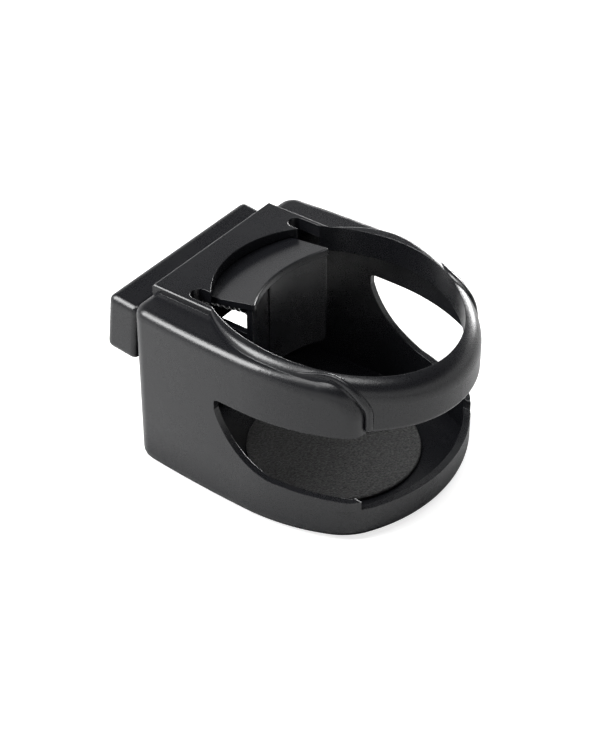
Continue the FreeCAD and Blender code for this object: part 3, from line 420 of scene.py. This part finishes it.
def make_springs():
    """Two compression springs, side by side along the pusher's slide."""
    joint = JOINTS["pusher_slide"]
    axis = Vector(joint["axis"]).normalized()
    across, up = Vector((1, 0, 0)), Vector((0, -axis.z, axis.y))
    low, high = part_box("pusher_springs")
    slope = math.atan2(-axis.z, axis.y)
    total = ((high.y - low.y) - 2 * COIL_OUTSIDE * math.sin(slope)) / math.cos(slope)
    length = total - 2 * WIRE
    steps = int(TURNS * STEPS_PER_TURN)
    for sign, tag, side in ((1, "right", high.x), (-1, "left", low.x)):
        middle = Vector((side - sign * COIL_OUTSIDE, (low.y + high.y) / 2, (low.z + high.z) / 2))
        path = []
        for i in range(steps + 1):
            turn = i / steps * TURNS
            angle = 2 * math.pi * turn
            radial = across * math.cos(angle) + up * math.sin(angle)
            along = axis * (coil_height(turn, length) - length / 2)
            path.append((middle + along + radial * (COIL_OUTSIDE - WIRE), radial, axis, WIRE))
        spring = tube("spring_" + tag, path, WIRE_SIDES, "spring_steel")
        stand_in(spring, "pusher_springs", "base")
        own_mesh(spring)


# ---------------------------------------------------------------- the tilting block's own frame
BLOCK_ORIGIN = Vector(JOINTS["mount_tilt"]["pos_m"])
BLOCK_Z = -Vector(JOINTS["jaw_slide"]["axis"]).normalized()
BLOCK_Y = BLOCK_Z.cross(Vector((1, 0, 0)))
CLAMP_Y = 0.8             # plane of the clamp screw and the jaw rods, in millimetres of this frame


def block_point(x, y, z):
    """A point of the block's frame, given in millimetres about the tilt axis."""
    return BLOCK_ORIGIN + (Vector((x, 0, 0)) + BLOCK_Y * y + BLOCK_Z * z) * MM


# ---------------------------------------------------------------- screws
LARGE = {"head": 2.8 * MM, "rise": 1.8 * MM, "shank": 1.5 * MM}
SMALL = {"head": 2.0 * MM, "rise": 1.1 * MM, "shank": 0.8 * MM}
SCREW_SEGMENTS, FACE_RINGS = 96, 34
FACE_EDGE = 0.66                      # radius where the face begins, over the head's radius
ARM_WIDTH, ARM_FLANK = 0.20, 0.10     # half width of a recess arm, and its slope, likewise
ARM_REACH, ARM_RAMP = 0.62, 0.16      # reach of an arm from the centre, and its slope, likewise
COVER_SCREW_X, COVER_SEAT_Y, COVER_SCREW_LENGTH = 27.0, 7.3, 7.0 * MM
ROD_X, JAW_SEAT_Z, ROD_SCREW_LENGTH = 7.4, -18.95, 8.9 * MM


def cross_recess(x, y, head, depth):
    """Depth of a tapered cross recess at a point of a screw head's face."""
    long, short = max(abs(x), abs(y)), min(abs(x), abs(y))
    sideways = (ARM_WIDTH * head - short) / (ARM_FLANK * head)
    endways = (ARM_REACH * head - long) / (ARM_RAMP * head)
    return depth * min(max(min(sideways, endways), 0.0), 1.0)


def pan_screw(name, node, body, at, direction, length, head, rise, shank):
    """Cross-recessed pan head screw; 'at' is under its head and 'direction' points out of the head.

    'head' and 'shank' are radii, 'rise' is the height of the head and 'length' that of the shank.
    """
    profile = [(shank * 0.1, -length), (shank * 0.75, -length), (shank, -length + shank * 0.3),
               (shank, 0.0)]
    dome = [(1.0, 0.0), (1.0, 0.38), (0.97, 0.58), (0.90, 0.76), (0.78, 0.90), (FACE_EDGE, 0.96)]
    profile += [(head * r, rise * z) for r, z in dome]
    for i in range(1, FACE_RINGS):
        r = FACE_EDGE * (1 - i / FACE_RINGS)
        profile.append((head * r, rise * (1.0 - 0.04 * (r / FACE_EDGE) ** 2)))
    recess = min(rise * 0.62, head * 0.45)
    turn = direction.to_track_quat("Z", "Y")
    points = []
    for point in lathe_rings(profile, SCREW_SEGMENTS):
        if point.z > rise * 0.9:
            point.z -= cross_recess(point.x, point.y, head, recess)
        points.append(at + turn @ point)
    screw = mesh_object(name, points, tube_faces(len(profile), SCREW_SEGMENTS), "dark_steel")
    stand_in(screw, node, body)


def make_screws():
    """Four screws in the rear frame, two in the block's cover and two into the jaw's rods."""
    low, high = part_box("frame_screws")
    head = LARGE["head"]
    seat = high.y - LARGE["rise"]
    for x, x_tag in ((low.x + head, "left"), (high.x - head, "right")):
        for z, z_tag in ((low.z + head, "low"), (high.z - head, "top")):
            pan_screw("frame_screw_%s_%s" % (z_tag, x_tag), "frame_screws", "base",
                      Vector((x, seat, z)), Vector((0, 1, 0)), seat - low.y, **LARGE)
    for sign, tag in ((1, "right"), (-1, "left")):
        pan_screw("block_screw_" + tag, "block_screws", "clamp_block",
                  block_point(sign * COVER_SCREW_X, COVER_SEAT_Y, 0), BLOCK_Y,
                  COVER_SCREW_LENGTH, **LARGE)
        pan_screw("rod_screw_" + tag, "rod_screws", "jaw",
                  block_point(sign * ROD_X, CLAMP_Y, JAW_SEAT_Z), -BLOCK_Z,
                  ROD_SCREW_LENGTH, **SMALL)


# ---------------------------------------------------------------- clamp screw
# Millimetres in the block's frame.
THREAD_BOTTOM, THREAD_TOP = -25.45, 8.0
THREAD_RADIUS, THREAD_PITCH, THREAD_DEPTH = 2.0, 0.7, 0.38
TIP_CHAMFER, CHAMFER_SLOPE = 0.7, 0.9
THREAD_SEGMENTS, ROWS_PER_PITCH = 40, 12


def thread_radius(z, turn):
    """Radius at a height and a fraction of a turn: flat crests and roots, chamfered tip."""
    phase = (z / THREAD_PITCH - turn) % 1.0
    flank = min(max(abs(2 * phase - 1) * 1.35 - 0.15, 0.0), 1.0)
    chamfer = max(0.0, TIP_CHAMFER - (THREAD_TOP - z)) * CHAMFER_SLOPE
    return THREAD_RADIUS - max(THREAD_DEPTH * flank, chamfer)


def make_thread():
    """Clamp screw with its rolled thread."""
    height = THREAD_TOP - THREAD_BOTTOM
    rows = int(height / THREAD_PITCH * ROWS_PER_PITCH)
    points = []
    for k in range(rows + 1):
        z = THREAD_BOTTOM + height * k / rows
        for i in range(THREAD_SEGMENTS):
            turn = i / THREAD_SEGMENTS
            r = thread_radius(z, turn)
            angle = 2 * math.pi * turn
            points.append(block_point(r * math.cos(angle), CLAMP_Y + r * math.sin(angle), z))
    thread = mesh_object("clamp_thread", points, tube_faces(rows + 1, THREAD_SEGMENTS), "ground_steel")
    stand_in(thread, "clamp_screw", "knob")


# ---------------------------------------------------------------- beads beside the leaves
# Millimetres. The first five lines repeat the outline of holder_body in the CAD source.
RING_HALF, RING_FRONT = 41.6, 47.4                # half width and front reach of the outer wall
SIDE_ROLL, FRONT_ROLL = 4.0, 8.0                  # rounding of its top edge, at the side and in front
RING_TOP, PEAK_Y, CROWN = 65.2, 10.0, 512.0       # crowned top edge: height, its place and its fall
SHOULDER_Z, SHOULDER_FALL = 62.9, 0.9             # height at y = 0, and its fall on the way to LEAF_Y
LEAF_Y, LEAF_Z, LEAF_REACH, LEAF_RISE = -17.0, 49.9, 14.5, 12.1   # leaf's arc: centre, half axes
BEAD_START_Y, BEAD_DROP = -5.0, 6.0
BEAD_GAP, BEAD_DEPTH = 0.9, 0.45                  # line's distance from the leaf, and into the wall
BEAD_RADIUS, BEAD_SIDES = 1.5 * MM, 14
GROWING_POINTS, CLOSING_POINTS = 44, 4


def ring_wall_x(y, z):
    """Half width of the ring's rolled outer wall, in front of its widest point."""
    x = RING_HALF * math.sqrt(1 - (y / RING_FRONT) ** 2)
    across, along = x / RING_HALF ** 2, y / RING_FRONT ** 2
    facing = across / math.hypot(across, along)
    roll = SIDE_ROLL + (FRONT_ROLL - SIDE_ROLL) * -y / RING_FRONT
    below = RING_TOP - (PEAK_Y - y) ** 2 / CROWN - z
    short = max(roll - below, 0.0)
    return x - (roll - math.sqrt(roll ** 2 - short ** 2)) / facing


def bead_line():
    """Side view of the bead: beside the shoulder, around the leaf's tip and down to the ring's edge."""
    points = []
    for i in range(24):
        part = i / 24
        y = BEAD_START_Y + (LEAF_Y - BEAD_START_Y) * part
        points.append((y, SHOULDER_Z - SHOULDER_FALL * y / LEAF_Y + BEAD_GAP * part))
    reach, rise = LEAF_REACH + BEAD_GAP, LEAF_RISE + BEAD_GAP
    for i in range(33):
        angle = math.pi / 2 * i / 32
        points.append((LEAF_Y - reach * math.sin(angle), LEAF_Z + rise * math.cos(angle)))
    for i in range(1, 17):
        points.append((LEAF_Y - reach, LEAF_Z - BEAD_DROP * i / 16))
    return points


def bead_radius(k, count):
    """Radius at point k of the line: it grows from a trace to full size and closes at the far end."""
    grown = min(k / GROWING_POINTS, 1.0)
    eased = grown * grown * (3 - 2 * grown)
    closing = min((count - 1 - k) / CLOSING_POINTS, 1.0)
    return BEAD_RADIUS * (0.12 + 0.88 * eased) * math.sqrt(0.15 + 0.85 * closing)


def make_beads():
    """Moulded bead between each leaf and the ring, partly sunk into the ring's outer wall."""
    for sign, tag in ((1, "right"), (-1, "left")):
        line = [Vector((sign * (ring_wall_x(y, z) - BEAD_DEPTH), y, z)) * MM for y, z in bead_line()]
        path = []
        for k, place in enumerate(line):
            ahead = (line[min(k + 1, len(line) - 1)] - line[max(k - 1, 0)]).normalized()
            out = (Vector((sign, 0, 0)) - ahead * ahead.x * sign).normalized()
            path.append((place, out, ahead.cross(out), bead_radius(k, len(line))))
        bead = tube("leaf_bead_" + tag, path, BEAD_SIDES, "shell")
        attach(bead, "base")


# ---------------------------------------------------------------- stage, lights and camera
FLOOR_HALF = 3.0
LOW_SKY, HIGH_SKY = (0.30, 1.1), (0.55, 0.04)     # upward part of the direction, strength of the light
LENS, SENSOR = 97.3, 36                           # millimetres
CAMERA_TARGET = Vector((-0.04022, -0.01188, 0.0652))
CAMERA_SIDE = Vector((-0.6394, -0.4756, 0.6041)).normalized()
CAMERA_DISTANCE = 0.612


def make_world():
    """Light tent: white around the horizon, dim overhead, plain white behind the object."""
    world = bpy.data.worlds.new("studio")
    world.use_nodes = True
    nodes, link = world.node_tree.nodes, world.node_tree.links.new
    around = nodes["Background"]
    around.inputs["Color"].default_value = WHITE
    behind = nodes.new("ShaderNodeBackground")
    behind.inputs["Color"].default_value = WHITE

    split = nodes.new("ShaderNodeSeparateXYZ")
    link(nodes.new("ShaderNodeTexCoord").outputs["Generated"], split.inputs[0])
    fade = nodes.new("ShaderNodeMapRange")
    fade.interpolation_type = "SMOOTHSTEP"
    for end, (height, strength) in (("Min", LOW_SKY), ("Max", HIGH_SKY)):
        fade.inputs["From " + end].default_value = height
        fade.inputs["To " + end].default_value = strength
    link(split.outputs["Z"], fade.inputs["Value"])
    link(fade.outputs["Result"], around.inputs["Strength"])

    choose = nodes.new("ShaderNodeMixShader")
    link(nodes.new("ShaderNodeLightPath").outputs["Is Camera Ray"], choose.inputs[0])
    link(around.outputs[0], choose.inputs[1])
    link(behind.outputs[0], choose.inputs[2])
    link(choose.outputs[0], nodes["World Output"].inputs["Surface"])
    bpy.context.scene.world = world


def make_floor():
    """Plain square floor at the underside of the base."""
    corners = [(x * FLOOR_HALF, y * FLOOR_HALF, 0) for x, y in ((-1, -1), (1, -1), (1, 1), (-1, 1))]
    mesh_object("floor", corners, [(0, 1, 2, 3)], "floor", smooth=False)


def softbox(name, at, target, width, height, power):
    """Rectangular area light that faces a point."""
    data = bpy.data.lights.new(name, "AREA")
    data.shape = "RECTANGLE"
    data.size = width
    data.size_y = height
    data.energy = power
    light = bpy.data.objects.new(name, data)
    bpy.context.scene.collection.objects.link(light)
    light.location = at
    light.rotation_euler = (Vector(target) - Vector(at)).to_track_quat("-Z", "Y").to_euler()


def make_camera():
    """Long lens from the front left and above, aimed at the ring's left side."""
    data = bpy.data.cameras.new("camera")
    data.sensor_fit = "VERTICAL"
    data.sensor_height = SENSOR
    data.lens = LENS
    camera = bpy.data.objects.new("camera", data)
    bpy.context.scene.collection.objects.link(camera)
    camera.location = CAMERA_TARGET + CAMERA_SIDE * CAMERA_DISTANCE
    camera.rotation_euler = (-CAMERA_SIDE).to_track_quat("-Z", "Y").to_euler()
    bpy.context.scene.camera = camera


make_foam_pad()
make_springs()
make_screws()
make_thread()
make_beads()

make_floor()
make_world()
bpy.context.scene.view_settings.view_transform = "Standard"
bpy.context.scene.view_settings.look = "None"
softbox("overhead", (-0.05, -0.1, 1.1), (0, 0, 0), 0.5, 0.5, 6)
softbox("left_rear", (-0.55, 0.62, 0.95), (0, 0, 0.05), 0.6, 0.9, 34)
softbox("right", (1.5, 0.25, 0.12), (0, 0, 0.05), 1.0, 0.5, 34)
make_camera()
